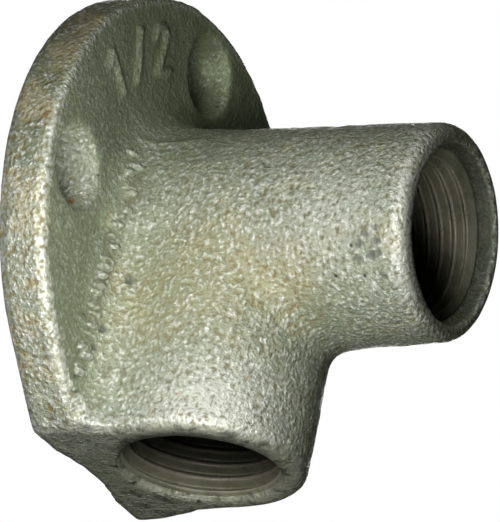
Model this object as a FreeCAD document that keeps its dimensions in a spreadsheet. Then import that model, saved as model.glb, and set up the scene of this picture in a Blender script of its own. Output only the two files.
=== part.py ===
"""Wall plate elbow: one malleable iron casting with two half-inch female ports.

The wall is the plane Y = 0, the part stands out of it towards -Y, +Z is up and +X is right for
someone who faces the wall. The origin is where the outlet's axis meets the wall. Millimetres.
"""
import FreeCAD
import Part
import math
import os
import Sketcher
from FreeCAD import Vector

NODE = "elbow_casting"
RIGHT = Vector(1, 0, 0)
OUT = Vector(0, -1, 0)
UP = Vector(0, 0, 1)
FULL_TURN = 360

SIZES = {
    # Round plate against the wall
    "plate_radius": 31.7,
    "plate_thickness": 6.7,
    "rim_rounding": 0.9,
    # Outlet socket, drafted towards its mouth
    "outlet_reach": 46.1,
    "outlet_mouth_radius": 13.5,
    "outlet_root_radius": 14.5,
    "counterbore_step": 0.722,
    "counterbore_depth": 2.2,
    "outlet_thread_length": 15.0,
    # Inlet body below it, round in front and straight back to the wall
    "inlet_from_wall": 16.8,
    "inlet_drop": 30.3,
    "inlet_end_radius": 12.9,
    "inlet_top_radius": 13.7,
    "inlet_chamfer": 0.15,
    "inlet_thread_length": 14.0,
    "end_rounding": 1.2,
    # Half-inch pipe thread at its full diameter, and the cored waterway behind it
    "thread_radius": 10.478,
    "runout_length": 6.0,
    "passage_radius": 8.8,
    "bend_radius": 10.0,
    # Blends left by the mould
    "crotch_fillet": 3.0,
    "root_fillet": 2.6,
    # Screw holes in the plate
    "screw_hole_radius": 4.25,
    "hole_flare_depth": 3.6,
    "top_hole_offset": 2.5,
    # Shallow relief in the plate's back, open at the lower edge
    "relief_depth": 1.5,
    "relief_half_width": 8.8,
    "relief_height": 18.0,
    "relief_runout": 6.0,
    # Room that cuts keep past the faces they start from
    "flank_margin": 1.0,
    "cut_margin": 2.0,
}

# Half width of the block that the plate is cut from
BLOCK = "sizes.plate_radius + sizes.root_fillet + sizes.cut_margin"
# Half width of the plate at the inlet's end, past the inlet and past the disc at that height
CHORD = "sqrt(max(0; sizes.plate_radius ^ 2 - sizes.inlet_drop ^ 2))"
FLANK = f"max(sizes.inlet_end_radius; {CHORD}) + sizes.flank_margin"
# The outlet's counterbore clears the thread by a step, and its lip is rounded over this share
COUNTERBORE = "(sizes.thread_radius + sizes.counterbore_step)"
LIP_SHARE = 0.7
LIP_ROUNDING = f"{LIP_SHARE} * (sizes.outlet_mouth_radius - {COUNTERBORE})"
# The plate's flat front is a ring from the socket's blend to the rim's rounding. The screw holes
# stand at this share of its width, and they flare over this share of the land outside them
HOLE_SHARE = 0.54
RING_START = "(sizes.outlet_root_radius + sizes.root_fillet)"
RING_END = "(sizes.plate_radius - sizes.rim_rounding)"
HOLE_CIRCLE = f"({RING_START} + {HOLE_SHARE} * ({RING_END} - {RING_START}))"
HOLE_FLARE = f"{HOLE_SHARE} * ({RING_END} - {HOLE_CIRCLE} - sizes.screw_hole_radius)"


def square(half, bottom):
    """Corners of a square of this half width whose lower side is at another height."""
    return [(f"-({half})", bottom), (half, bottom), (half, half), (f"-({half})", half)]


def make_sheet(doc):
    """Write the driving sizes to a spreadsheet, one named cell each."""
    sheet = doc.addObject("Spreadsheet::Sheet", "sizes")
    for row, (name, value) in enumerate(SIZES.items(), start=1):
        sheet.set(f"A{row}", name)
        sheet.set(f"B{row}", str(value))
        sheet.setAlias(f"B{row}", name)
    doc.recompute()
    return sheet


def new_sketch(body, name, role):
    """Start a sketch on one of the body's own origin planes, found by its role."""
    support = next(item for item in body.Origin.OriginFeatures if item.Role == role)
    sketch = body.newObject("Sketcher::SketchObject", name)
    sketch.AttachmentSupport = [(support, "")]
    sketch.MapMode = "FlatFace"
    return sketch


def number(sketch, formula):
    """Work out a formula of the sheet's sizes as a plain number."""
    return float(sketch.evalExpression(formula))


def dimension(sketch, kind, formula, *geometry):
    """Add a dimension to a sketch, bound to a formula of the sheet's sizes."""
    index = sketch.addConstraint(Sketcher.Constraint(kind, *geometry, number(sketch, formula)))
    sketch.setExpression(f"Constraints[{index}]", formula)


def place_point(sketch, geometry, position, across, up):
    """Bind a point of the sketch to two formulas, or to an axis where the formula is 0."""
    for kind, formula, axis in (("DistanceX", across, -2), ("DistanceY", up, -1)):
        if formula == "0":
            sketch.addConstraint(Sketcher.Constraint("PointOnObject", geometry, position, axis))
        else:
            dimension(sketch, kind, formula, geometry, position)


def add_polygon(sketch, points):
    """Draw a closed polygon whose corners are pairs of formulas, each bound to the sheet."""
    corners = [Vector(number(sketch, across), number(sketch, up), 0) for across, up in points]
    first = sketch.GeometryCount
    for start, end in zip(corners, corners[1:] + corners[:1]):
        sketch.addGeometry(Part.LineSegment(start, end))
    for line, (across, up) in enumerate(points, start=first):
        following = first + (line - first + 1) % len(points)
        sketch.addConstraint(Sketcher.Constraint("Coincident", line, 2, following, 1))
        place_point(sketch, line, 1, across, up)


def add_circle(sketch, across, up, radius):
    """Draw a circle with its centre and radius bound to formulas."""
    centre = Vector(number(sketch, across), number(sketch, up), 0)
    circle = sketch.addGeometry(Part.Circle(centre, Vector(0, 0, 1), number(sketch, radius)))
    dimension(sketch, "Radius", radius, circle)
    place_point(sketch, circle, 3, across, up)


def add_feature(body, kind, name, sketch, **formulas):
    """Make a feature from a sketch, with its lengths bound to formulas."""
    feature = body.newObject(f"PartDesign::{kind}", name)
    feature.Profile = sketch
    for field, formula in formulas.items():
        feature.setExpression(field, formula)
    return feature


def finish_cut(body, before):
    """Recompute after a cut, and stop if it took nothing away."""
    body.Document.recompute()
    if body.Shape.Volume >= before:
        raise RuntimeError(f"{body.Tip.Name} cut nothing")


def add_pocket(body, name, sketch, length):
    """Cut a sketch on the wall plane out of the body, towards the front."""
    before = body.Shape.Volume
    pocket = add_feature(body, "Pocket", name, sketch, Length=length)
    pocket.Reversed = True
    finish_cut(body, before)


def add_groove(body, name, sketch, axis):
    """Cut a full turn of a sketch about one of its own axes out of the body."""
    before = body.Shape.Volume
    groove = add_feature(body, "Groove", name, sketch)
    groove.ReferenceAxis = (sketch, [axis])
    groove.Angle = FULL_TURN
    finish_cut(body, before)


def on_plane(normal, distance):
    """Make a test for a flat face with this normal at this distance from the origin."""
    def test(face):
        if not isinstance(face.Surface, Part.Plane):
            return False
        aligned = abs(face.Surface.Axis.dot(normal)) > 1 - 1e-6
        return aligned and abs(face.Surface.Position.dot(normal) - distance) < 1e-4
    return test


def on_cone(axis):
    """Make a test for a conical face whose axis has this direction."""
    def test(face):
        return isinstance(face.Surface, Part.Cone) and abs(face.Surface.Axis.dot(axis)) > 1 - 1e-6
    return test


def on_cylinder(radius):
    """Make a test for a cylindrical face of this radius."""
    def test(face):
        return isinstance(face.Surface, Part.Cylinder) and abs(face.Surface.Radius - radius) < 1e-6
    return test


def on_none(tests):
    """Make a test for a face that passes none of these tests."""
    return lambda face: not any(test(face) for test in tests)


def edges_between(shape, one, two):
    """Name the edges where a face that passes one test meets a face that passes the other."""
    names = []
    for index, edge in enumerate(shape.Edges, start=1):
        faces = shape.ancestorsOfType(edge, Part.Face)
        if len(faces) == 2:
            straight = one(faces[0]) and two(faces[1])
            swapped = one(faces[1]) and two(faces[0])
            if straight or swapped:
                names.append(f"Edge{index}")
    return names


def add_fillet(body, name, names, radius):
    """Round the named edges of the body's last feature."""
    base = body.Tip
    fillet = body.newObject("PartDesign::Fillet", name)
    fillet.Base = (base, names)
    fillet.setExpression("Radius", radius)
    body.Document.recompute()


def inlet_outline(body, name, height, radius):
    """Draw the inlet body's outline at one height: half round in front, straight to the wall."""
    sketch = new_sketch(body, name, "XY_Plane")
    sketch.setExpression("AttachmentOffset.Base.z", height)
    half = number(sketch, radius)
    depth = number(sketch, "sizes.inlet_from_wall")
    front = Part.Circle(Vector(0, -depth, 0), Vector(0, 0, 1), half)
    sketch.addGeometry([
        Part.LineSegment(Vector(-half, 0, 0), Vector(-half, -depth, 0)),
        Part.ArcOfCircle(front, math.pi, 2 * math.pi),
        Part.LineSegment(Vector(half, -depth, 0), Vector(half, 0, 0)),
        Part.LineSegment(Vector(half, 0, 0), Vector(-half, 0, 0)),
    ])
    sketch.addConstraint([
        Sketcher.Constraint("Tangent", 0, 2, 1, 1),
        Sketcher.Constraint("Tangent", 1, 2, 2, 1),
        Sketcher.Constraint("Coincident", 2, 2, 3, 1),
        Sketcher.Constraint("Coincident", 3, 2, 0, 1),
        Sketcher.Constraint("Vertical", 0),
        Sketcher.Constraint("PointOnObject", 3, 1, -1),
        Sketcher.Constraint("PointOnObject", 3, 2, -1),
    ])
    place_point(sketch, 1, 3, "0", "-sizes.inlet_from_wall")
    dimension(sketch, "Radius", radius, 1)
    return sketch


def add_inlet_body(body):
    """Loft the inlet's body from its end face to the outlet's axis, drafted to the end."""
    end = inlet_outline(body, "inlet_end_outline", "-sizes.inlet_drop", "sizes.inlet_end_radius")
    top = inlet_outline(body, "inlet_top_outline", "0", "sizes.inlet_top_radius")
    loft = add_feature(body, "AdditiveLoft", "inlet_body", end)
    loft.Sections = [top]
    loft.Ruled = True
    body.Document.recompute()


def add_outlet_socket(body):
    """Turn the outlet's drafted socket about its own axis and blend it into the inlet body."""
    sketch = new_sketch(body, "outlet_profile", "YZ_Plane")
    add_polygon(sketch, [
        ("0", "0"),
        ("0", "sizes.outlet_root_radius"),
        ("-sizes.outlet_reach", "sizes.outlet_mouth_radius"),
        ("-sizes.outlet_reach", "0"),
    ])
    socket = add_feature(body, "Revolution", "outlet_socket", sketch)
    socket.ReferenceAxis = (sketch, ["H_Axis"])
    socket.Angle = FULL_TURN
    body.Document.recompute()
    crotch = edges_between(body.Shape, on_cone(OUT), on_cone(UP))
    add_fillet(body, "crotch_blend", crotch, "sizes.crotch_fillet")


def add_plate(body):
    """Pad the plate as an oversize block and blend the sockets into its front."""
    sketch = new_sketch(body, "plate_block", "XZ_Plane")
    add_polygon(sketch, square(BLOCK, "-sizes.inlet_drop"))
    add_feature(body, "Pad", "plate", sketch, Length="sizes.plate_thickness")
    body.Document.recompute()
    block = number(sketch, BLOCK)
    front = on_plane(OUT, number(sketch, "sizes.plate_thickness"))
    border = [
        on_plane(RIGHT, block),
        on_plane(RIGHT, -block),
        on_plane(UP, block),
        on_plane(UP, -number(sketch, "sizes.inlet_drop")),
    ]
    roots = edges_between(body.Shape, front, on_none(border))
    add_fillet(body, "root_blend", roots, "sizes.root_fillet")


def trim_plate(body):
    """Cut the block to a disc whose sides run straight on to the inlet's end, and round its rim."""
    sketch = new_sketch(body, "plate_outline", "XZ_Plane")
    past_block = f"{BLOCK} + sizes.cut_margin"
    past_end = "-sizes.inlet_drop - sizes.cut_margin"
    add_polygon(sketch, square(past_block, f"-({past_block})"))
    radius = number(sketch, "sizes.plate_radius")
    foot = Vector(number(sketch, FLANK), -number(sketch, "sizes.inlet_drop"), 0)
    low = math.atan2(foot.x, -foot.y) + math.acos(radius / foot.Length)
    touch = Vector(radius * math.sin(low), -radius * math.cos(low), 0)
    below = Vector(foot.x, number(sketch, past_end), 0)
    flip = lambda point: Vector(-point.x, point.y, 0)
    disc = Part.Circle(Vector(0, 0, 0), Vector(0, 0, 1), radius)
    first = sketch.GeometryCount
    arc, left_side, left_foot, bottom, right_foot, right_side = range(first, first + 6)
    sketch.addGeometry([
        Part.ArcOfCircle(disc, low - math.pi / 2, 3 * math.pi / 2 - low),
        Part.LineSegment(flip(touch), flip(foot)),
        Part.LineSegment(flip(foot), flip(below)),
        Part.LineSegment(flip(below), below),
        Part.LineSegment(below, foot),
        Part.LineSegment(foot, touch),
    ])
    sketch.addConstraint([
        Sketcher.Constraint("Coincident", arc, 3, -1, 1),
        Sketcher.Constraint("Tangent", arc, 2, left_side, 1),
        Sketcher.Constraint("Tangent", right_side, 2, arc, 1),
        Sketcher.Constraint("Coincident", left_side, 2, left_foot, 1),
        Sketcher.Constraint("Coincident", left_foot, 2, bottom, 1),
        Sketcher.Constraint("Coincident", bottom, 2, right_foot, 1),
        Sketcher.Constraint("Coincident", right_foot, 2, right_side, 1),
    ])
    dimension(sketch, "Radius", "sizes.plate_radius", arc)
    place_point(sketch, left_foot, 1, f"-({FLANK})", "-sizes.inlet_drop")
    place_point(sketch, bottom, 1, f"-({FLANK})", past_end)
    place_point(sketch, bottom, 2, FLANK, past_end)
    place_point(sketch, right_side, 1, FLANK, "-sizes.inlet_drop")
    length = "sizes.plate_thickness + sizes.root_fillet + sizes.cut_margin"
    add_pocket(body, "plate_trim", sketch, length)
    rim = on_cylinder(radius)
    front = on_plane(OUT, number(sketch, "sizes.plate_thickness"))
    back = on_plane(OUT, 0)
    end = on_plane(UP, -number(sketch, "sizes.inlet_drop"))
    ends = edges_between(body.Shape, end, on_cone(UP))
    add_fillet(body, "end_round", ends, "sizes.end_rounding")
    add_fillet(body, "front_rim", edges_between(body.Shape, front, rim), "sizes.rim_rounding")
    add_fillet(body, "back_rim", edges_between(body.Shape, back, rim), "sizes.rim_rounding")


def cut_passage(body):
    """Sweep the cored bend that joins the two ports."""
    start = "sizes.outlet_reach - sizes.outlet_thread_length"
    end = "sizes.inlet_drop - sizes.inlet_thread_length"
    section = new_sketch(body, "passage_section", "XZ_Plane")
    section.setExpression("AttachmentOffset.Base.z", start)
    add_circle(section, "0", "0", "sizes.passage_radius")
    path = new_sketch(body, "passage_path", "YZ_Plane")
    bend = number(path, "sizes.bend_radius")
    inlet = -number(path, "sizes.inlet_from_wall")
    corner = Part.Circle(Vector(inlet - bend, -bend, 0), Vector(0, 0, 1), bend)
    path.addGeometry([
        Part.LineSegment(Vector(-number(path, start), 0, 0), Vector(inlet - bend, 0, 0)),
        Part.ArcOfCircle(corner, 0, math.pi / 2),
        Part.LineSegment(Vector(inlet, -bend, 0), Vector(inlet, -number(path, end), 0)),
    ])
    path.addConstraint([
        Sketcher.Constraint("Tangent", 0, 2, 1, 2),
        Sketcher.Constraint("Tangent", 1, 1, 2, 1),
        Sketcher.Constraint("Horizontal", 0),
        Sketcher.Constraint("Vertical", 2),
    ])
    place_point(path, 0, 1, f"-({start})", "0")
    place_point(path, 2, 2, "-sizes.inlet_from_wall", f"-({end})")
    dimension(path, "Radius", "sizes.bend_radius", 1)
    before = body.Shape.Volume
    passage = add_feature(body, "SubtractivePipe", "passage", section)
    passage.Spine = path
    finish_cut(body, before)


def cut_outlet_bore(body):
    """Turn the outlet's counterbore and tapped bore, with a conical run-out into the passage."""
    sketch = new_sketch(body, "outlet_bore_profile", "YZ_Plane")
    past = "-sizes.outlet_reach - sizes.cut_margin"
    step = "-sizes.outlet_reach + sizes.counterbore_depth"
    end = "-sizes.outlet_reach + sizes.outlet_thread_length"
    add_polygon(sketch, [
        (past, "0"),
        (past, COUNTERBORE),
        (step, COUNTERBORE),
        (step, "sizes.thread_radius"),
        (end, "sizes.thread_radius"),
        (f"{end} + sizes.runout_length", "0"),
    ])
    add_groove(body, "outlet_bore", sketch, "H_Axis")


def cut_inlet_bore(body):
    """Turn the inlet's chamfered tapped bore, with a conical run-out into the passage."""
    sketch = new_sketch(body, "inlet_bore_profile", "YZ_Plane")
    sketch.setExpression("AttachmentOffset.Base.x", "-sizes.inlet_from_wall")
    past = "-sizes.inlet_drop - sizes.cut_margin"
    lip = "sizes.thread_radius + sizes.inlet_chamfer"
    end = "-sizes.inlet_drop + sizes.inlet_thread_length"
    add_polygon(sketch, [
        ("0", past),
        (lip, past),
        (lip, "-sizes.inlet_drop"),
        ("sizes.thread_radius", "-sizes.inlet_drop + sizes.inlet_chamfer"),
        ("sizes.thread_radius", end),
        ("0", f"{end} + sizes.runout_length"),
    ])
    add_groove(body, "inlet_bore", sketch, "V_Axis")


def cut_screw_holes(body):
    """Cut the three screw holes and flare them towards the front."""
    sketch = new_sketch(body, "screw_hole_centres", "XZ_Plane")
    for across, up in (
        (f"-{HOLE_CIRCLE}", "0"),
        (HOLE_CIRCLE, "0"),
        ("sizes.top_hole_offset", HOLE_CIRCLE),
    ):
        add_circle(sketch, across, up, "sizes.screw_hole_radius")
    add_pocket(body, "screw_holes", sketch, "sizes.plate_thickness")
    radius = number(sketch, "sizes.screw_hole_radius")
    front = on_plane(OUT, number(sketch, "sizes.plate_thickness"))
    mouths = edges_between(body.Shape, on_cylinder(radius), front)
    base = body.Tip
    flare = body.newObject("PartDesign::Chamfer", "hole_flare")
    flare.Base = (base, mouths)
    flare.ChamferType = "Two distances"
    flare.setExpression("Size", "sizes.hole_flare_depth")
    flare.setExpression("Size2", HOLE_FLARE)
    body.Document.recompute()


def cut_relief(body):
    """Turn the shallow relief in the back about a line behind the wall, with a sloped top end."""
    sketch = new_sketch(body, "relief_profile", "YZ_Plane")
    radius = "((sizes.relief_half_width ^ 2 + sizes.relief_depth ^ 2) / (2 * sizes.relief_depth))"
    sketch.setExpression("AttachmentOffset.Base.x", f"{radius} - sizes.relief_depth")
    past = "-sizes.inlet_drop - sizes.cut_margin"
    top = "-sizes.inlet_drop + sizes.relief_height"
    add_polygon(sketch, [
        ("0", past),
        (f"-{radius}", past),
        (f"-{radius}", top),
        ("0", f"{top} + sizes.relief_runout * {radius} / sizes.relief_depth"),
    ])
    add_groove(body, "back_relief", sketch, "V_Axis")


def round_mouth(body):
    """Round the outer edge of the outlet's mouth."""
    mouth = on_plane(OUT, body.Document.getObject("sizes").outlet_reach)
    mouths = edges_between(body.Shape, mouth, on_cone(OUT))
    add_fillet(body, "mouth_round", mouths, LIP_ROUNDING)


def check(doc, body):
    """Stop if any object failed, or if the casting isn't one valid solid."""
    for item in doc.Objects:
        if {"Invalid", "Error"} & set(item.State):
            raise RuntimeError(f"{item.Name} failed: {item.State}")
    shape = body.Shape
    if shape.isNull() or not shape.isValid() or len(shape.Solids) != 1:
        raise RuntimeError(f"{body.Label} is not one valid solid")


def main():
    """Build the document, check it and write the casting."""
    doc = FreeCAD.newDocument("wall_plate_elbow")
    make_sheet(doc)
    body = doc.addObject("PartDesign::Body", NODE)
    body.Label = NODE
    body.Placement = FreeCAD.Placement()
    add_inlet_body(body)
    add_outlet_socket(body)
    add_plate(body)
    trim_plate(body)
    cut_passage(body)
    cut_outlet_bore(body)
    cut_inlet_bore(body)
    cut_screw_holes(body)
    cut_relief(body)
    round_mouth(body)
    check(doc, body)
    os.makedirs("parts", exist_ok=True)
    body.Shape.exportStep(f"parts/{body.Label}.step")
    print(f"{body.Label}: {body.Shape.Volume / 1000:.1f} cubic centimetres")


main()
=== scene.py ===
"""Wall plate elbow: a galvanised iron casting with two tapped ports, dressed round its CAD frame.

Everything is in metres in the CAD frame: the wall is the plane Y = 0, the outlet points along -Y
and the inlet opens downwards, along -Z.
"""
import logging
from dataclasses import dataclass
from enum import Enum

import bmesh
import bpy
import numpy as np
from mathutils import Matrix, Vector


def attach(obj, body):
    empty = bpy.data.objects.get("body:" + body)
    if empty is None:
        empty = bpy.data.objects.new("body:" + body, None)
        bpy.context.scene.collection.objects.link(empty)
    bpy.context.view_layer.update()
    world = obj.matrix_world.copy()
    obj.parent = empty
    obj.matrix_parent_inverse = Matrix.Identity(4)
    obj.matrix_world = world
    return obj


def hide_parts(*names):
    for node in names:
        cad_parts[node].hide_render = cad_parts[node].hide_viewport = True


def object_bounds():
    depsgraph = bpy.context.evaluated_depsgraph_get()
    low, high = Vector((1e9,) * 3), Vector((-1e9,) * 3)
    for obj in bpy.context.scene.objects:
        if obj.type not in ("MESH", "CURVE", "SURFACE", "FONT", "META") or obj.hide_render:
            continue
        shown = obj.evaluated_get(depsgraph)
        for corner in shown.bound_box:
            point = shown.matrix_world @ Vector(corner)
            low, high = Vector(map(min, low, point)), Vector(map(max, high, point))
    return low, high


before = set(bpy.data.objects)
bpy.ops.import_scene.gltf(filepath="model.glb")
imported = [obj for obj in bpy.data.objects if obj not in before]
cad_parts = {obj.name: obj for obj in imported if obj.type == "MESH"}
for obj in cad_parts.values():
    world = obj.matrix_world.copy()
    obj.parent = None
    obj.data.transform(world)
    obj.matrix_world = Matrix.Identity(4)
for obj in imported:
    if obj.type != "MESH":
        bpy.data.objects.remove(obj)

LOG = logging.getLogger("wall_plate_elbow")
MM = 0.001
NODE = "elbow_casting"
BODY = "root"
CAD_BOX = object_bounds()

# Kinds of value that the shader calls take and give
Colour = tuple[float, float, float, float]
Socket = bpy.types.NodeSocket
Value = Socket | float

# Photograph: size and focal length in pixels, and the camera's place and axes in the CAD frame
PHOTO_SIZE = (500, 522)
FOCAL_PIXELS = 16120.4
CAMERA_PLACE = Vector((-1.58018, -0.97343, -0.74653))
PHOTO_RIGHT = Vector((0.4556, -0.87623, 0.157)).normalized()
PHOTO_UP = Vector((-0.40284, -0.04567, 0.91413)).normalized()
TO_CAMERA = PHOTO_RIGHT.cross(PHOTO_UP)

# Places of the casting's main faces: the mouth, the end and the rim are read from the frame
MOUTH = float(CAD_BOX[0][1])
END = float(CAD_BOX[0][2])
PLATE_RADIUS = float(CAD_BOX[1][2])
PLATE_FRONT = -6.7 * MM
INLET_AXIS = -16.8 * MM
OUTLET_SIDE = 14.35 * MM
INLET_SIDE = 13.7 * MM
INLET_DRAFT = 0.8 * MM / -END
ROOT_RADIUS = 5.0 * MM

# Screw holes: the flare's reach, and the centres of the two holes in view as x and z
HOLE_CIRCLE = 24.5 * MM
HOLE_REACH = 5.8 * MM
LEFT_HOLE = (-HOLE_CIRCLE, 0.0)
# Centre of the painted highlight on the left hole's wall
LEFT_HOLE_SHEEN = (-HOLE_CIRCLE, -1.0 * MM)
TOP_HOLE = (2.5 * MM, HOLE_CIRCLE)

# Row of beads in the near root: x at the outlet's height, and its change with z
BEAD_ROW = -15.0 * MM
BEAD_ROW_LEAN = 0.055


class Port(Enum):
    """The two tapped ports, by the direction that each opens in."""

    OUTLET = "outlet"
    INLET = "inlet"


def lattice_hash(ix: np.ndarray, iy: np.ndarray, iz: np.ndarray, seed: int) -> np.ndarray:
    """Give each lattice point a repeatable number between 0 and 1.

    The three indices are mixed by odd multipliers and xor shifts on 64-bit integers.

    Args:
        ix, iy, iz: Whole-number lattice indices.
        seed: Number that makes one field differ from another.

    Returns:
        Values in [0, 1), shaped like the indices.
    """
    mixed = (ix * 73856093) ^ (iy * 19349663) ^ (iz * 83492791) ^ (seed * 2654435761)
    mixed = mixed & 0xFFFFFFFF
    mixed = ((mixed ^ (mixed >> 15)) * 2246822519) & 0xFFFFFFFF
    mixed = ((mixed ^ (mixed >> 13)) * 3266489917) & 0xFFFFFFFF
    return ((mixed ^ (mixed >> 16)) & 0xFFFFFF) / float(0x1000000)


def smooth_noise(points: np.ndarray, size: float, seed: int) -> np.ndarray:
    """Work out soft value noise: random lattice numbers blended by 3t^2 - 2t^3 along each axis.

    Args:
        points: Places, one row each.
        size: Lattice spacing, in the points' unit.
        seed: Number of the field.

    Returns:
        One value from -1 to 1 for each point.
    """
    scaled = points / size
    cell = np.floor(scaled).astype(np.int64)
    t = scaled - cell
    t = t * t * (3.0 - 2.0 * t)
    total = np.zeros(len(points))
    for corner in np.ndindex(2, 2, 2):
        weight = np.prod(np.where(np.array(corner) == 1, t, 1.0 - t), axis=1)
        index = cell + np.array(corner)
        total += weight * lattice_hash(index[:, 0], index[:, 1], index[:, 2], seed)
    return 2.0 * total - 1.0


def ramp(value: np.ndarray, low: float, high: float | np.ndarray) -> np.ndarray:
    """Rise from 0 at low to 1 at high by the smooth step 3t^2 - 2t^3."""
    t = np.clip((value - low) / (high - low), 0.0, 1.0)
    return t * t * (3.0 - 2.0 * t)


def bell(value: np.ndarray, spread: float) -> np.ndarray:
    """Return the bell curve exp(-(value / spread)^2)."""
    return np.exp(-(value / spread) ** 2)


def spot_gaps(points: np.ndarray, spots: tuple) -> np.ndarray:
    """Measure how far places are from listed spots.

    Args:
        points: Places, one row each.
        spots: Rows of x, y, z and radius in millimetres.

    Returns:
        The distances as multiples of the spots' radii, one column for each spot.
    """
    table = np.array(spots) * MM
    return np.linalg.norm(points[:, None, :] - table[None, :, :3], axis=2) / table[:, 3]


def in_hole(points: np.ndarray, hole: tuple[float, float]) -> np.ndarray:
    """Tell which places lie within the flare of the screw hole with this centre."""
    return np.hypot(points[:, 0] - hole[0], points[:, 2] - hole[1]) < HOLE_REACH


def on_rim(points: np.ndarray) -> np.ndarray:
    """Return 1 on the plate's round rim, fading out just inside it."""
    return ramp(np.hypot(points[:, 0], points[:, 2]), PLATE_RADIUS - 0.8 * MM, PLATE_RADIUS - 0.2 * MM)


def bead_row(z: np.ndarray) -> np.ndarray:
    """Return x along the row of beads in the near root, which leans away from the sockets downwards."""
    return BEAD_ROW + BEAD_ROW_LEAN * z


def beside_sockets(points: np.ndarray) -> tuple[np.ndarray, np.ndarray]:
    """Measure how far places are from the sockets' sides, along the plate.

    Args:
        points: Places, one row each.

    Returns:
        The distance from the nearer of the outlet's round and the inlet's straight side, and the
        direction away from it, one row each.
    """
    x, _, z = points.T
    around = np.maximum(np.hypot(x, z), MM)
    ring = around - OUTLET_SIDE
    side = np.abs(x) - INLET_SIDE - INLET_DRAFT * z
    straight = (z < 0) & (side < ring)
    zero = np.zeros_like(x)
    away = np.where(straight[:, None], np.stack([np.sign(x), zero, zero], axis=1),
                    np.stack([x / around, zero, z / around], axis=1))
    return np.where(straight, side, ring), away


def mean_of_neighbours(values: np.ndarray, pairs: np.ndarray) -> np.ndarray:
    """Average the values of each vertex's neighbours.

    Args:
        values: One value or row for each vertex.
        pairs: The two vertices of each edge.

    Returns:
        The means, shaped like the values.
    """
    total = np.zeros_like(values)
    np.add.at(total, pairs[:, 0], values[pairs[:, 1]])
    np.add.at(total, pairs[:, 1], values[pairs[:, 0]])
    count = np.bincount(pairs.ravel(), minlength=len(values))
    return total / count.reshape((-1,) + (1,) * (values.ndim - 1))


def mesh_from_grid(name: str, points: np.ndarray) -> bpy.types.Mesh:
    """Make a mesh from a grid of points that closes on itself in both directions.

    Args:
        name: Mesh name.
        points: Array of rows x columns x 3, both ends joined, wound to face outwards.

    Returns:
        The mesh, a torus-like shell of quads.
    """
    rows, columns = points.shape[:2]
    index = np.arange(rows * columns).reshape(rows, columns)
    down, right = np.roll(index, -1, axis=0), np.roll(index, -1, axis=1)
    corner = np.roll(down, -1, axis=1)
    quads = np.stack([index, right, corner, down], axis=-1).reshape(-1, 4)
    mesh = bpy.data.meshes.new(name)
    mesh.from_pydata(points.reshape(-1, 3), [], quads)
    mesh.update()
    return mesh


def store(mesh: bpy.types.Mesh, fields: dict[str, np.ndarray]) -> None:
    """Store one number for each vertex under each name."""
    for name, values in fields.items():
        mesh.attributes.new(name, "FLOAT", "POINT").data.foreach_set("value", values.ravel())


def add_piece(name: str, mesh: bpy.types.Mesh, material: bpy.types.Material) -> bpy.types.Object:
    """Put a finished mesh into the scene, smooth shaded, riding on the casting's body.

    Args:
        name: Name of the piece.
        mesh: Its mesh, in the CAD frame.
        material: Its finish.

    Returns:
        The piece's object, which sits at the origin.
    """
    mesh.polygons.foreach_set("use_smooth", np.ones(len(mesh.polygons), dtype=bool))
    mesh.materials.clear()
    mesh.materials.append(material)
    piece = bpy.data.objects.new(name, mesh)
    bpy.context.scene.collection.objects.link(piece)
    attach(piece, BODY)
    LOG.info("%s: %d vertices, %d faces", name, len(mesh.vertices), len(mesh.polygons))
    return piece


@dataclass(frozen=True)
class CastWarp:
    """How the casting came out of true: ends a little out of square, plate a little out of round.

    Angles are in degrees round the outlet's axis.
    """

    mouth_from: float = 28.0 * MM
    mouth_per_z: float = -0.04
    mouth_per_x: float = 0.034
    mouth_shift: float = -0.42 * MM
    end_pivot: float = 16.0 * MM
    end_slope: float = 0.028
    end_height: float = 9.0 * MM
    flat_depth: float = 0.65 * MM
    flat_angle: float = 119.0
    flat_spread: float = 24.0
    flat_radii: tuple[float, float] = (27.0 * MM, 31.0 * MM)
    flat_heights: tuple[float, float] = (7.5 * MM, 9.0 * MM)

    def bend(self, points: np.ndarray) -> np.ndarray:
        """Bend places as the casting is bent.

        Near the mouth y changes by a plane in x and z, near the end z rises with the distance
        from the wall, and the rim's radius is smaller round one angle by a bell curve.

        Args:
            points: Places, with the axes in the last dimension.

        Returns:
            The bent places, shaped like the points.
        """
        x, y, z = points[..., 0], points[..., 1], points[..., 2]
        around = np.hypot(x, z)
        mouth = self.mouth_per_z * z + self.mouth_per_x * x + self.mouth_shift
        mouth = mouth * ramp(-y, self.mouth_from, -MOUTH)
        end = (-y - self.end_pivot) * self.end_slope * (1.0 - ramp(z, END, END + self.end_height))
        angle = np.arctan2(z, x) - np.radians(self.flat_angle)
        flat = self.flat_depth * bell(angle, np.radians(self.flat_spread))
        flat = flat * ramp(around, *self.flat_radii) * (1.0 - ramp(-y, *self.flat_heights))
        around = np.maximum(around, MM)
        return np.stack([x - flat * x / around, y + mouth, z + end - flat * z / around], axis=-1)


WARP = CastWarp()


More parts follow.
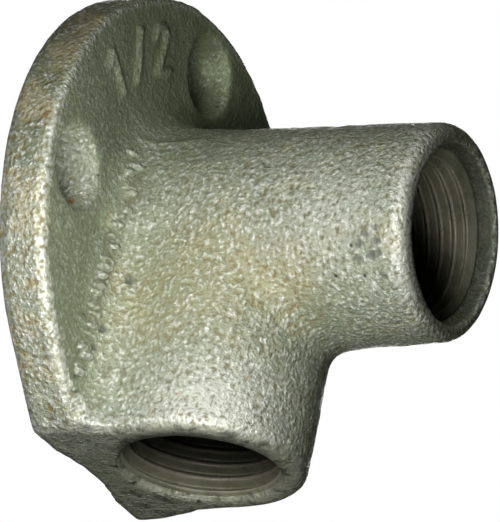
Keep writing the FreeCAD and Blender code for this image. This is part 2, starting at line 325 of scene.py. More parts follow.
class Shader:
    """A material or node group under construction, with short calls for nodes and links."""

    def __init__(self, tree: bpy.types.NodeTree) -> None:
        """Start on an empty node tree."""
        self.tree = tree
        self.tree.nodes.clear()

    def node(self, kind: str, inputs: dict | None = None, **settings: object) -> bpy.types.Node:
        """Add a node.

        Args:
            kind: Blender's node type, without the ShaderNode prefix.
            inputs: Socket values, or output sockets to link, by input name or number.
            settings: Node properties.

        Returns:
            The node.
        """
        made = self.tree.nodes.new("ShaderNode" + kind)
        for key, value in settings.items():
            setattr(made, key, value)
        for key, value in (inputs or {}).items():
            if isinstance(value, Socket):
                self.tree.links.new(value, made.inputs[key])
            else:
                made.inputs[key].default_value = value
        return made

    def noise(self, coords: Socket, scale: float, detail: float = 3.0, roughness: float = 0.5,
              distortion: float = 0.0) -> Socket:
        """Add fractal noise and return its value."""
        made = self.node("TexNoise", {"Vector": coords, "Scale": scale, "Detail": detail,
                                      "Roughness": roughness, "Distortion": distortion})
        return made.outputs["Fac"]

    def between(self, value: Socket, low: float, high: float) -> Socket:
        """Map a value to 0 at low and 1 at high, smoothly."""
        made = self.node("MapRange", {"Value": value, "From Min": low, "From Max": high},
                         interpolation_type="SMOOTHSTEP")
        return made.outputs["Result"]

    def math(self, operation: str, first: Value, second: Value) -> Socket:
        """Combine two values."""
        return self.node("Math", {0: first, 1: second}, operation=operation).outputs[0]

    def times(self, first: Value, second: Value) -> Socket:
        """Multiply two values."""
        return self.math("MULTIPLY", first, second)

    def plus(self, first: Value, second: Value) -> Socket:
        """Add two values."""
        return self.math("ADD", first, second)

    def minus(self, first: Value, second: Value) -> Socket:
        """Take the second value from the first."""
        return self.math("SUBTRACT", first, second)

    def larger(self, first: Value, second: Value) -> Socket:
        """Return the larger of two values."""
        return self.math("MAXIMUM", first, second)

    def mix(self, factor: Value, first: Socket | Colour, second: Socket | Colour) -> Socket:
        """Blend from a first colour to a second one."""
        made = self.node("Mix", {"Factor": factor, 6: first, 7: second}, data_type="RGBA")
        return made.outputs[2]

    def attribute(self, name: str) -> Socket:
        """Read a number stored on the piece's vertices."""
        return self.node("Attribute", attribute_name=name).outputs["Fac"]

    def coords(self) -> Socket:
        """Read the place in the CAD frame."""
        return self.node("TexCoord").outputs["Object"]

    def spots(self, group: bpy.types.NodeTree, coords: Socket, density: float, share: float,
              size: float) -> Socket:
        """Place the group of specks with its own values.

        Args:
            group: The shared group.
            coords: Where the pattern is read.
            density: Cells per metre.
            share: Part of the cells that have a spot.
            size: Spot radius, as a part of a cell.

        Returns:
            The mask of the spots.
        """
        placed = self.node("Group", node_tree=group)
        self.tree.links.new(coords, placed.inputs["Vector"])
        for name, value in (("Density", density), ("Share", share), ("Size", size)):
            placed.inputs[name].default_value = value
        return placed.outputs["Mask"]


def new_material(name: str) -> tuple[bpy.types.Material, Shader]:
    """Start a material on an empty node tree."""
    material = bpy.data.materials.new(name)
    material.use_nodes = True
    return material, Shader(material.node_tree)


def speck_group() -> bpy.types.NodeTree:
    """Build the group for specks: round spots in a share of the cells of a Voronoi pattern.

    Returns:
        A node group with inputs Vector, Density, Share and Size, and output Mask.
    """
    waviness = 0.6 * MM
    tree = bpy.data.node_groups.new("specks", "ShaderNodeTree")
    face = tree.interface
    face.new_socket("Vector", in_out="INPUT", socket_type="NodeSocketVector")
    for name in ("Density", "Share", "Size"):
        face.new_socket(name, in_out="INPUT", socket_type="NodeSocketFloat")
    face.new_socket("Mask", in_out="OUTPUT", socket_type="NodeSocketFloat")
    made = Shader(tree)
    given = tree.nodes.new("NodeGroupInput").outputs
    warp = made.node("TexNoise", {"Vector": given["Vector"], "Scale": given["Density"],
                                  "Detail": 2.0}).outputs["Color"]
    small = made.node("VectorMath", {0: warp, 1: (waviness, waviness, waviness)},
                      operation="MULTIPLY").outputs[0]
    place = made.node("VectorMath", {0: given["Vector"], 1: small}, operation="ADD").outputs[0]
    cells = made.node("TexVoronoi", {"Vector": place, "Scale": given["Density"]})
    pick = made.node("SeparateColor", {"Color": cells.outputs["Color"]}).outputs[0]
    chosen = made.math("LESS_THAN", pick, given["Share"])
    edge = made.node("MapRange", {"Value": cells.outputs["Distance"], "From Min": given["Size"],
                                  "From Max": 0.0}, interpolation_type="SMOOTHSTEP")
    mask = made.times(edge.outputs["Result"], chosen)
    out = tree.nodes.new("NodeGroupOutput")
    tree.links.new(mask, out.inputs["Mask"])
    return tree


@dataclass(frozen=True)
class GalvanisedCast:
    """Finish of the cast skin: beaded dull zinc with beige bloom, pits and rust specks.

    Scales are in pattern cells per metre.
    """

    zinc: Colour = (0.455, 0.49, 0.37, 1.0)
    cool: Colour = (0.39, 0.43, 0.345, 1.0)
    green: Colour = (0.25, 0.30, 0.17, 1.0)
    bloom: Colour = (0.62, 0.57, 0.34, 1.0)
    # White, for painted highlights and glints and for rubbed edges
    bright: Colour = (0.86, 0.87, 0.78, 1.0)
    # Painted shade in the gaps between the beads
    crevice: Colour = (0.19, 0.175, 0.085, 1.0)
    rust: Colour = (0.40, 0.17, 0.04, 1.0)
    ochre: Colour = (0.34, 0.26, 0.11, 1.0)
    brown: Colour = (0.31, 0.215, 0.065, 1.0)
    pit: Colour = (0.03, 0.033, 0.026, 1.0)
    slag: Colour = (0.12, 0.13, 0.105, 1.0)
    ground: Colour = (0.47, 0.48, 0.36, 1.0)
    # Dark olive, for blotches on the ground end and for painted shade in recesses
    mould: Colour = (0.085, 0.094, 0.054, 1.0)
    cloud_scale: float = 110.0
    patch_scale: float = 170.0
    film_scale: float = 260.0
    blotch_scale: float = 420.0
    bead_scale: float = 1550.0
    grain_scale: float = 1750.0
    grit_scale: float = 4200.0
    bead_height: float = 0.52 * MM

    def build(self, specks: bpy.types.NodeTree) -> bpy.types.Material:
        """Make the material.

        Args:
            specks: The shared group for spots.

        Returns:
            The material, which reads the skin's attributes.
        """
        material, made = new_material("galvanised_cast")
        place = made.coords()
        wear_and_edge_highlight, oxide_and_shade = made.attribute("wear_and_edge_highlight"), made.attribute("oxide_and_shade")
        ground, rim = made.attribute("ground"), made.attribute("rim")
        beige, deep = made.attribute("bloom"), made.attribute("deep")
        pale, pitted = made.attribute("pale"), made.attribute("pitted")
        rusty, red = made.attribute("rusty"), made.attribute("red")

        # Patterns, from broad to fine
        cloud = made.between(made.noise(place, self.cloud_scale, 4.0, 0.6), 0.38, 0.64)
        patch = made.between(made.noise(place, self.patch_scale, 5.0, 0.7), 0.42, 0.58)
        film = made.between(made.noise(place, self.film_scale, 5.0, 0.7), 0.50, 0.70)
        blotch = made.between(made.noise(place, self.blotch_scale, 5.0, 0.72), 0.47, 0.62)
        beads = self.beads(made, place)
        grit = made.noise(place, self.grit_scale, 2.0, 0.5)
        holes = made.spots(specks, place, 420.0, 0.13, 0.15)
        flecks = made.spots(specks, place, 800.0, 0.07, 0.24)
        marks = made.spots(specks, place, 1350.0, 0.26, 0.50)

        # Film: beige in patches of the rim and on the bloom, green between them; on the plate the green
        # is dull oxide and painted shade
        tint = made.plus(made.times(film, 0.45), made.times(beige, 0.5))
        tint = made.plus(tint, made.times(made.times(rim, patch), 0.8))
        dull = made.times(rim, made.times(made.minus(1.0, patch), 0.75))

        # Grain: painted shade in the gaps between the beads and painted glints on their tops, both
        # weaker where the skin is dull or in painted shade
        sunk = made.minus(1.0, made.times(made.larger(oxide_and_shade, deep), 0.78))
        warm = made.larger(rim, beige)
        low = made.times(made.times(made.between(beads, 0.49, 0.30), 0.85), sunk)
        gap = made.mix(made.times(warm, 0.7), self.crevice, self.brown)
        high = made.times(made.times(made.between(beads, 0.53, 0.68), 0.95), sunk)
        gritty = made.plus(beads, made.times(grit, 0.3))
        bare = made.times(wear_and_edge_highlight, made.between(gritty, 0.55, 0.75))

        # Stains: brown marks crowd on the warm parts, and ochre seeps into the gaps
        crowd = made.plus(made.times(cloud, 0.45), made.times(warm, 0.5))
        crowd = made.times(crowd, made.minus(0.8, made.times(made.larger(pale, oxide_and_shade), 0.6)))
        seep = made.plus(beads, made.times(made.minus(grit, 0.5), 0.5))
        seep = made.times(made.between(seep, 0.52, 0.34), 0.6)

        # Layers of colour, each with how strongly it covers those before it
        layers = (
            (made.math("MINIMUM", tint, 0.9), self.bloom),
            # Green film: dull oxide and painted shade on the plate and round the sockets, and dull
            # patches of the rim
            (made.larger(made.times(oxide_and_shade, 0.88), dull), self.green),
            # Painted highlight on the inlet's front, the mouth's near edge, the low rim, the outlet and
            # the left hole
            (made.times(pale, 0.72), self.bright),
            # Painted shade in the gaps between the beads, brown where the skin is warm
            (low, gap),
            # Painted glints on the beads' tops
            (high, self.bright),
            # Rubbed zinc and painted highlight along the edges
            (made.times(bare, 0.5), self.bright),
            (made.times(ground, 0.9), made.mix(blotch, self.ground, self.mould)),
            (made.times(marks, crowd), self.brown),
            (holes, self.pit),
            (made.times(flecks, 0.8), self.rust),
            (made.times(rusty, seep), self.ochre),
            (made.times(red, 0.9), self.rust),
            (made.times(pitted, 0.85), self.slag),
            # Painted shade in the counterbore, the screw holes, the root and the bead gaps
            (made.times(deep, 0.72), self.mould),
        )
        colour = made.mix(made.times(cloud, 0.8), self.zinc, self.cool)
        for cover, tone in layers:
            colour = made.mix(cover, colour, tone)

        # Relief, calmer on the ground end, the dull plate, the slag pits and the rubbed, highlighted
        # edges
        calm = made.plus(made.times(ground, 0.3), made.times(oxide_and_shade, 0.6))
        calm = made.larger(calm, made.times(made.larger(pitted, wear_and_edge_highlight), 0.6))
        height = made.times(made.minus(gritty, made.times(holes, 0.5)), made.minus(1.0, calm))
        bump = made.node("Bump", {"Height": height, "Strength": 1.0, "Distance": self.bead_height})
        gloss = made.node("MapRange", {"Value": beads, "From Min": 0.35, "From Max": 0.7,
                                       "To Min": 0.68, "To Max": 0.40})
        shader = made.node("BsdfPrincipled", {
            "Base Color": colour, "Roughness": gloss.outputs["Result"],
            "Metallic": made.minus(0.5, made.times(low, 0.4)), "Normal": bump.outputs["Normal"]})
        made.node("OutputMaterial", {"Surface": shader.outputs["BSDF"]})
        return material

    def beads(self, made: Shader, place: Socket) -> Socket:
        """Work out the beaded grain: fractal noise less a part of the distance to round grains.

        Args:
            made: The material under construction.
            place: Where the pattern is read.

        Returns:
            The grain's height, about 0.5.
        """
        grains = made.node("TexVoronoi", {"Vector": place, "Scale": self.grain_scale,
                                          "Smoothness": 0.55}, feature="SMOOTH_F1").outputs["Distance"]
        rough = made.noise(place, self.bead_scale, 4.0, 0.62)
        return made.minus(rough, made.times(made.minus(grains, 0.5), 0.35))


@dataclass(frozen=True)
class TurnedIron:
    """Finish of the tapped bores: oiled iron with turning lines and bright thread crests, darkened
    inside by painted shadow.

    Scales are in pattern cells per metre.
    """

    iron: Colour = (0.62, 0.62, 0.46, 1.0)
    crest: Colour = (0.95, 0.86, 0.70, 1.0)
    soot: Colour = (0.42, 0.425, 0.29, 1.0)
    dark: Colour = (0.004, 0.004, 0.001, 1.0)
    fleck: Colour = (0.40, 0.40, 0.36, 1.0)
    stain_scale: float = 260.0
    line_scale: float = 2600.0
    line_height: float = 0.06 * MM
    metallic: float = 0.35
    specular: float = 0.05

    def build(self, specks: bpy.types.NodeTree) -> bpy.types.Material:
        """Make the material.

        Args:
            specks: The shared group for spots.

        Returns:
            The material, which reads the bore's crest and deep attributes.
        """
        material, made = new_material("turned_iron")
        place = made.coords()
        crest, deep = made.attribute("crest"), made.attribute("deep")
        stain = made.between(made.noise(place, self.stain_scale, 4.0, 0.65), 0.40, 0.66)
        lines = made.noise(place, self.line_scale, 2.0, 0.5, 0.4)
        bare = made.times(crest, made.between(lines, 0.22, 0.55))

        # Layers of colour, each with how strongly it covers those before it
        layers = (
            (made.times(bare, 0.8), self.crest),
            (made.spots(specks, place, 420.0, 0.10, 0.09), self.fleck),
            # Painted shadow, darker deeper in the bore
            (made.times(deep, 0.97), self.dark),
        )
        colour = made.mix(stain, self.iron, self.soot)
        for cover, tone in layers:
            colour = made.mix(cover, colour, tone)
        bump = made.node("Bump", {"Height": lines, "Strength": 0.5, "Distance": self.line_height})
        gloss = made.node("MapRange", {"Value": stain, "To Min": 0.48, "To Max": 0.66})
        shader = made.node("BsdfPrincipled", {
            "Base Color": colour, "Roughness": gloss.outputs["Result"], "Metallic": self.metallic,
            "Specular IOR Level": self.specular, "Normal": bump.outputs["Normal"]})
        made.node("OutputMaterial", {"Surface": shader.outputs["BSDF"]})
        return material


@dataclass(frozen=True)
class RaisedFigures:
    """Plain size figures cast on the plate, read clockwise round the outlet with their tops outwards.

    Each figure has its angle in degrees and the corners of its stroke, across and up in millimetres.
    """

    height: float = 0.5 * MM
    half_width: float = 0.75 * MM
    base_radius: float = 21.6 * MM
    strokes: tuple = (
        (142.0, ((-1.3, 4.4), (0.1, 5.8), (0.1, 0.0))),
        (128.0, ((-1.5, 0.0), (1.5, 5.8))),
        (114.0, ((-1.5, 4.5), (-0.8, 5.6), (0.6, 5.8), (1.4, 4.9), (1.1, 3.6), (-1.5, 0.1),
                 (1.7, 0.1))),
    )

    def lift(self, points: np.ndarray) -> np.ndarray:
        """Work out how far the figures stand out of the plate at each place.

        The height falls by a smooth step with the distance from the nearest stroke, where that is
        |p - a - t (b - a)| with t = (p - a).(b - a) / |b - a|^2 kept between 0 and 1.

        Args:
            points: Places, one row each.

        Returns:
            One height for each place.
        """
        flat = points[:, [0, 2]]
        nearest = np.full(len(points), 1.0)
        for degrees, corners in self.strokes:
            outward = np.array([np.cos(np.radians(degrees)), np.sin(np.radians(degrees))])
            across = np.array([outward[1], -outward[0]])
            path = np.array(corners) * MM
            path = path[:, :1] * across + (path[:, 1:] + self.base_radius) * outward
            for start, end in zip(path[:-1], path[1:]):
                along = end - start
                t = np.clip((flat - start) @ along / (along @ along), 0.0, 1.0)
                gap = np.linalg.norm(flat - start - t[:, None] * along, axis=1)
                nearest = np.minimum(nearest, gap)
        return self.height * (1.0 - ramp(nearest, 0.25 * self.half_width, self.half_width))


@dataclass(frozen=True)
class CastWear:
    """Where the cast skin is rubbed, dulled, stained or pitted, and where light and shade are painted
    on it, as one number for each vertex.

    Spots are rows of x, y, z and radius in millimetres, and the film's patches have a strength too.
    """

    edge_rounds: int = 6
    edge_stand: tuple[float, float] = (0.035 * MM, 0.12 * MM)
    highlight_turn: float = 34.0
    highlight_spread: float = 36.0
    seam_width: float = 0.8 * MM
    pits: tuple = (
        (-12.5, -41.0, -5.4, 0.45), (-11.9, -40.2, -6.5, 0.60), (-12.0, -42.4, -6.3, 0.50),
        (-11.1, -41.6, -7.8, 0.70), (-10.9, -39.8, -8.1, 0.55), (-12.7, -42.3, -4.7, 0.40),
        (-11.3, -42.6, -7.5, 0.40), (-9.3, -43.0, -9.8, 0.45), (-14.8, -8.2, -17.5, 0.55),
        (-15.3, -7.9, -20.2, 0.50), (-17.2, -7.0, -16.6, 0.45), (-16.9, -7.0, -24.6, 0.45),
        (-13.6, -10.0, -10.6, 0.6), (-13.3, -32.0, 2.8, 0.26), (-13.4, -31.6, 2.0, 0.32),
        (-13.5, -31.1, 1.2, 0.24), (-13.5, -30.9, 0.3, 0.30), (-13.5, -30.4, -0.4, 0.22),
        (-13.2, -26.6, 3.9, 0.34), (-13.0, -26.1, 4.5, 0.26),
    )
    film_patches: tuple = (
        (-13.5, -15.5, -12.5, 10.0, 0.55), (-5.5, -32.5, -13.0, 5.0, 0.6),
        (-11.0, -14.0, 9.5, 8.0, 0.55),
    )
    bloom_spots: tuple = (
        (-11.0, -21.0, -9.0, 7.0), (-9.5, -30.5, -9.5, 4.5), (-13.5, -13.5, -14.0, 6.0),
    )
    rust_spots: tuple = ((-20.9, -4.4, -3.0, 0.6),)
    stains: tuple = (
        (-13.5, -12.0, -11.6, 1.3), (-12.4, -14.7, -30.1, 0.5),
        (-12.9, -16.3, -28.4, 0.45), (-5.8, -30.5, -13.2, 2.6), (-9.0, -32.0, -10.5, 1.6),
    )
    highlight_spots: tuple = ((-13.0, -36.5, -2.0, 7.0),)
    shaded_spots: tuple = ((-17.5, -7.5, 6.0, 5.0),)

    def fields(self, points: np.ndarray, normals: np.ndarray, pairs: np.ndarray,
               front: np.ndarray) -> dict[str, np.ndarray]:
        """Work out every kind of wear and stain, and the painted light and shade.

        Args:
            points: Places, one row each.
            normals: Their outward directions.
            pairs: The two vertices of each edge.
            front: 1 on the plate's front, 0 elsewhere.

        Returns:
            One value for each place, by the name that the finish reads.
        """
        return {
            "red": self.near_any(points, self.rust_spots),
            "wear_and_edge_highlight": self.wear_and_edge_highlight(points, normals, pairs),
            "oxide_and_shade": self.oxide_and_shade(points),
            "ground": self.ground(points),
            "rim": self.rim(points, front),
            "bloom": self.bloom(points),
            "pale": self.pale(points),
            "deep": self.deep(points),
            "pitted": self.near_any(points, self.pits),
            "rusty": np.maximum(self.near_any(points, self.stains), self.seam(points)),
        }

    def near_any(self, points: np.ndarray, spots: tuple) -> np.ndarray:
        """Return 1 close to any of the listed spots, fading out round each spot's radius."""
        return ramp(spot_gaps(points, spots), 1.35, 0.55).max(axis=1)

    def wear_and_edge_highlight(self, points: np.ndarray, normals: np.ndarray, pairs: np.ndarray) -> np.ndarray:
        """Work out the rubbed edges and the painted highlight along them, by how sharply the surface
        stands out, from 0 on flats to 1 along edges.

        The distance along the normal from a vertex to the mean of a wide ring of neighbours is
        its convexity. The edges high up, inside the plate and on the mouth's far side get less of it.

        Args:
            points: Places, one row each.
            normals: Their outward directions.
            pairs: The two vertices of each edge.

        Returns:
            One value for each place.
        """
        mean = points
        for _ in range(self.edge_rounds):
            mean = mean_of_neighbours(mean, pairs)
        stand = np.einsum("ij,ij->i", points - mean, normals)
        edge = ramp(mean_of_neighbours(stand, pairs), *self.edge_stand)
        x, y, z = points.T
        upper = ramp(z, 0.0, 16.0 * MM)
        inner = (np.hypot(x, z) < 29.5 * MM) & (y > PLATE_FRONT - 0.5 * MM) & (z > END + 6.0 * MM)
        far = ramp(x, -8.0 * MM, 2.0 * MM) * ramp(-y, 40.0 * MM, 43.0 * MM)
        return edge * (1.0 - 0.85 * upper) * np.where(inner, 0.15, 1.0) * (1.0 - 0.9 * far)

    def oxide_and_shade(self, points: np.ndarray) -> np.ndarray:
        """Work out the green film on the plate's front and in the listed patches: dull oxide, partly
        painted shade.

        It fades out up the sockets and at the rim, and is thin inside the left hole and low down; its
        thickening towards the upper right and its reach up the upper root are painted shade.

        Args:
            points: Places, one row each.

        Returns:
            One value for each place.
        """
        x, y, z = points.T
        # Painted shade: near the top the film reaches further up the root
        reach = 10.5 * MM + 2.5 * MM * ramp(z, -12.0 * MM, 2.0 * MM)
        plate = 1.0 - ramp(-y, 7.0 * MM, reach)
        inside = 1.0 - ramp(np.hypot(x, z), PLATE_RADIUS - 1.3 * MM, PLATE_RADIUS - 0.5 * MM)
        hole = in_hole(points, LEFT_HOLE) * ramp(y - PLATE_FRONT, 0.2 * MM, 0.8 * MM)
        film = plate * inside * (1.0 - 0.85 * hole)
        # Painted shade: the film thickens towards the plate's upper right
        film = film * (0.65 + 0.35 * ramp(x + z, -20.0 * MM, 15.0 * MM))
        film = film * (1.0 - 0.7 * ramp(y, -2.5 * MM, -0.5 * MM))
        strength = np.array(self.film_patches)[:, 4]
        patches = strength * bell(spot_gaps(points, self.film_patches), 1.0)
        return np.maximum(film, patches.max(axis=1))

    def ground(self, points: np.ndarray) -> np.ndarray:
        """Return how plain the inlet's flat end is, less towards the wall, fading out at its edges."""
        plain = 0.85 - 0.5 * ramp(points[:, 1] - 0.5 * points[:, 0], -10.0 * MM, 2.0 * MM)
        return plain * (1.0 - ramp(points[:, 2] - END, 0.25 * MM, 0.9 * MM))

    def rim(self, points: np.ndarray, front: np.ndarray) -> np.ndarray:
        """Work out where the plate's rim is, fading out towards its front edge and the lower end.

        Args:
            points: Places, one row each.
            front: 1 on the plate's front, 0 elsewhere.

        Returns:
            One value for each place, 1 on the round rim and its straight flanks.
        """
        x, y, z = points.T
        flank = ramp(-z, 18.0 * MM, 21.0 * MM) * ramp(np.abs(x), 16.0 * MM, 18.5 * MM)
        side = ramp(y - PLATE_FRONT, 0.1 * MM, 0.9 * MM)
        low = ramp(z - END, 0.5 * MM, 2.0 * MM)
        return np.maximum(on_rim(points), flank) * side * low * (1.0 - front)

    def bloom(self, points: np.ndarray) -> np.ndarray:
        """Return the beige bloom round the junction of the two sockets and under the outlet."""
        return np.clip(bell(spot_gaps(points, self.bloom_spots), 1.0).sum(axis=1), 0.0, 1.0)

    def pale(self, points: np.ndarray) -> np.ndarray:
        """Work out the painted highlight: white laid on the zinc where the light falls on it most.

        It is whitest on the inlet's front, by a bell curve of the angle round the inlet, and on the
        mouth's near edge, and less so on the low rim, on the outlet and in the left hole.

        Args:
            points: Places, one row each.

        Returns:
            One value for each place.
        """
        x, y, z = points.T
        sunk, inside = y - PLATE_FRONT, y - MOUTH
        turn = np.degrees(np.arctan2(-(y - INLET_AXIS), -x)) - self.highlight_turn
        inlet = bell(turn, self.highlight_spread) * (1.0 - ramp(z, -28.0 * MM, -16.0 * MM))
        inlet = inlet * ramp(-y, 10.0 * MM, 15.0 * MM)
        lip = 0.75 * (1.0 - ramp(inside, 0.6 * MM, 3.0 * MM)) * ramp(-x, 5.0 * MM, 10.0 * MM)
        rim = 0.35 * on_rim(points) * (1.0 - ramp(z, -12.0 * MM, 6.0 * MM))
        outlet = 0.4 * bell(spot_gaps(points, self.highlight_spots), 1.0).max(axis=1)
        wall = in_hole(points, LEFT_HOLE_SHEEN) & (sunk > 0.15 * MM) & (x > -25.5 * MM)
        hole = 0.15 * wall * (1.0 - ramp(sunk, 1.4 * MM, 3.2 * MM))
        return np.maximum.reduce([inlet, lip, rim, outlet, hole])

    def deep(self, points: np.ndarray) -> np.ndarray:
        """Work out the painted shade inside the counterbore and the screw holes, on the root at the
        shaded spots, and between the beads.

        Args:
            points: Places, one row each.

        Returns:
            One value for each place.
        """
        x, y, z = points.T
        sunk, inside = y - PLATE_FRONT, y - MOUTH
        within = 1.0 - ramp(np.hypot(x, z), 11.3 * MM, 11.7 * MM)
        counterbore = ramp(inside, 0.1 * MM, 0.7 * MM) * ramp(-y, 24.0 * MM, 26.0 * MM)
        top = 0.4 * in_hole(points, TOP_HOLE) * ramp(sunk, 0.2 * MM, 1.5 * MM)
        left = 0.3 * in_hole(points, LEFT_HOLE) * ramp(sunk, 1.4 * MM, 4.5 * MM)
        wall = 1.0 - ramp(y, -1.2 * MM, -0.6 * MM)
        # Painted shade on the root beside the outlet
        shaded = 0.3 * bell(spot_gaps(points, self.shaded_spots), 1.0).max(axis=1)
        beside = shaded * ramp(-sunk, -0.1 * MM, 0.0)
        return np.maximum.reduce([0.8 * within * counterbore, wall * np.maximum(top, left), beside,
                                  self.seam(points)])

    def seam(self, points: np.ndarray) -> np.ndarray:
        """Work out the seam between the beads in the near root, a bell curve across their row: an ochre
        deposit, and painted shade in the gaps.

        Args:
            points: Places, one row each.

        Returns:
            One value for each place.
        """
        x, y, z = points.T
        span = ramp(z, -26.0 * MM, -20.0 * MM) * (1.0 - ramp(z, 4.0 * MM, 7.0 * MM))
        corner = (y < PLATE_FRONT + 0.3 * MM) & (y > PLATE_FRONT - ROOT_RADIUS)
        return 0.55 * corner * span * bell(x - bead_row(z), self.seam_width)


@dataclass
class CastingSkin:
    """The whole casting's skin: the CAD form remeshed finely and roughened as sand leaves it."""

    voxel: float = 0.43 * MM
    smoothing_rounds: int = 1
    mouth_rounds: int = 2
    bore_radius: float = 11.5 * MM
    bore_room: float = 0.35 * MM
    outlet_bore: float = 15.5 * MM
    inlet_bore: float = 14.5 * MM
    counterbore_depth: float = 2.3 * MM
    lip_thinning: float = 0.25 * MM
    lip_radius: float = 9.7 * MM
    lip_oval: float = 0.4 * MM
    lip_shift: float = 0.37 * MM
    lip_depth: float = 0.85 * MM
    lip_flare: float = 0.35 * MM
    lip_flare_depth: float = 0.45 * MM
    lump_sizes: tuple = (6.0 * MM, 2.6 * MM, 1.3 * MM)
    lump_heights: tuple = (0.11 * MM, 0.085 * MM, 0.07 * MM)
    ridge_height: float = 0.28 * MM
    ridge_angle: float = 149.0
    ridge_spread: float = 2.2
    ridge_twist: float = 1.1 / MM
    blob_spacing: float = 5.0 * MM
    blob_height: float = 0.22 * MM
    blob_radius: float = 0.75 * MM
    pit_depth: float = 0.12 * MM
    figure_wear: float = 0.45
    figures: RaisedFigures = RaisedFigures()
    wear: CastWear = CastWear()

    def build(self, finish: bpy.types.Material) -> bpy.types.Object:
        """Remesh the CAD form, roughen it and store its wear.

        Args:
            finish: The cast finish.

        Returns:
            The skin, which stands for the CAD node.
        """
        mesh = self.remeshed()
        points, pairs = self.read(mesh)
        points = self.relax(points, pairs)
        normals = self.put(mesh, points)
        points = self.widen_roots(points, normals)
        normals = self.put(mesh, points)
        bored = self.bored(points, normals)
        front = ramp(-normals[:, 1], 0.6, 0.9) * (np.abs(points[:, 1] - PLATE_FRONT) < 0.5 * MM)
        raised = self.figures.lift(points) * front

        fields = self.wear.fields(points, normals, pairs, front)
        figure_wear = self.figure_wear * raised / self.figures.height
        fields["wear_and_edge_highlight"] = fields["wear_and_edge_highlight"] * (1.0 - bored) + figure_wear

        lift = (self.lumps(points) + self.ridge(points) + self.blobs(points)) * (1.0 - bored)
        lift = lift + raised - self.pit_depth * fields["pitted"] - self.bore_room * bored
        lift = lift - self.lip_thinning * self.counterbore(points, normals)
        points = self.draw_in_lip(points + normals * lift[:, None], normals)
        self.put(mesh, WARP.bend(self.ease_foot(points)))
        store(mesh, fields)
        piece = add_piece("casting_skin", mesh, finish)
        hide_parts(NODE)
        return piece

    def remeshed(self) -> bpy.types.Mesh:
        """Merge a copy of the CAD mesh and rebuild it on even voxels.

        Returns:
            The new mesh, closed and of quads.
        """
        solid = bmesh.new()
        solid.from_mesh(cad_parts[NODE].data)
        bmesh.ops.remove_doubles(solid, verts=solid.verts, dist=1e-6)
        merged = bpy.data.meshes.new("merged")
        solid.to_mesh(merged)
        solid.free()
        holder = bpy.data.objects.new("merged", merged)
        bpy.context.scene.collection.objects.link(holder)
        remesh = holder.modifiers.new("even", "REMESH")
        remesh.mode = "VOXEL"
        remesh.voxel_size = self.voxel
        graph = bpy.context.evaluated_depsgraph_get()
        mesh = bpy.data.meshes.new_from_object(holder.evaluated_get(graph))
        bpy.data.objects.remove(holder)
        bpy.data.meshes.remove(merged)
        return mesh

    def read(self, mesh: bpy.types.Mesh) -> tuple[np.ndarray, np.ndarray]:
        """Read a mesh.

        Args:
            mesh: The mesh.

        Returns:
            The vertices' places, and the two vertices of each edge.
        """
        points = np.empty(len(mesh.vertices) * 3)
        mesh.vertices.foreach_get("co", points)
        pairs = np.empty(len(mesh.edges) * 2, dtype=np.int32)
        mesh.edges.foreach_get("vertices", pairs)
        return points.reshape(-1, 3), pairs.reshape(-1, 2)

    def put(self, mesh: bpy.types.Mesh, points: np.ndarray) -> np.ndarray:
        """Write the vertices' places.

        Args:
            mesh: The mesh.
            points: The places, one row each.

        Returns:
            The vertices' new normals.
        """
        mesh.vertices.foreach_set("co", points.ravel())
        mesh.update()
        normals = np.empty(len(points) * 3)
        mesh.vertices.foreach_get("normal", normals)
        return normals.reshape(-1, 3)

    def relax(self, points: np.ndarray, pairs: np.ndarray) -> np.ndarray:
        """Move vertices half way to their neighbours' mean to take off voxel steps.

        Args:
            points: Places, one row each.
            pairs: The two vertices of each edge.

        Returns:
            The moved places, which have more rounds at the mouth.
        """
        for _ in range(self.smoothing_rounds):
            points = 0.5 * points + 0.5 * mean_of_neighbours(points, pairs)
        mouth = 0.5 * (1.0 - ramp(points[:, 1], MOUTH + 0.9 * MM, MOUTH + 2.0 * MM))[:, None]
        for _ in range(self.mouth_rounds):
            points = points + mouth * (mean_of_neighbours(points, pairs) - points)
        return points

    def widen_roots(self, points: np.ndarray, normals: np.ndarray) -> np.ndarray:
        """Widen the blend between the plate and the sockets to the root radius R.

        With e the distance from a socket's side and d the height above the plate, a place in the
        corner under the arc of radius R about c = (R, R) moves out to c + (p - c) R / |p - c|.

        Args:
            points: Places, one row each.
            normals: Their outward directions.

        Returns:
            The moved places.
        """
        e, away = beside_sockets(points)
        d = PLATE_FRONT - points[:, 1]
        radius = ROOT_RADIUS
        span = np.hypot(e - radius, d - radius)
        corner = (d > -0.05 * MM) & (d < radius) & (e > -0.3 * MM) & (e < radius) & (span > radius)
        level = 1.0 - ramp(-normals[:, 2], 0.85, 0.98)
        share = np.where(corner, radius / span - 1.0, 0.0) * level
        moved = points + away * ((e - radius) * share)[:, None]
        moved[:, 1] -= (d - radius) * share
        return moved

    def bored(self, points: np.ndarray, normals: np.ndarray) -> np.ndarray:
        """Find the walls of the two bores, behind their linings.

        Args:
            points: Places, one row each.
            normals: Their outward directions, which face the axis on a bore's wall.

        Returns:
            1 on the walls and 0 elsewhere.
        """
        x, y, z = points.T
        outlet_wall = x * normals[:, 0] + z * normals[:, 2]
        inlet_wall = x * normals[:, 0] + (y - INLET_AXIS) * normals[:, 1]
        outlet = (np.hypot(x, z) < self.bore_radius) & (outlet_wall < 0)
        inlet = (np.hypot(x, y - INLET_AXIS) < self.bore_radius) & (inlet_wall < 0)
        inside, above = y - MOUTH, z - END
        front = outlet & (inside > self.counterbore_depth + 0.3 * MM) & (inside < self.outlet_bore)
        under = inlet & (above > 0.25 * MM) & (above < self.inlet_bore)
        return (front | under).astype(float)

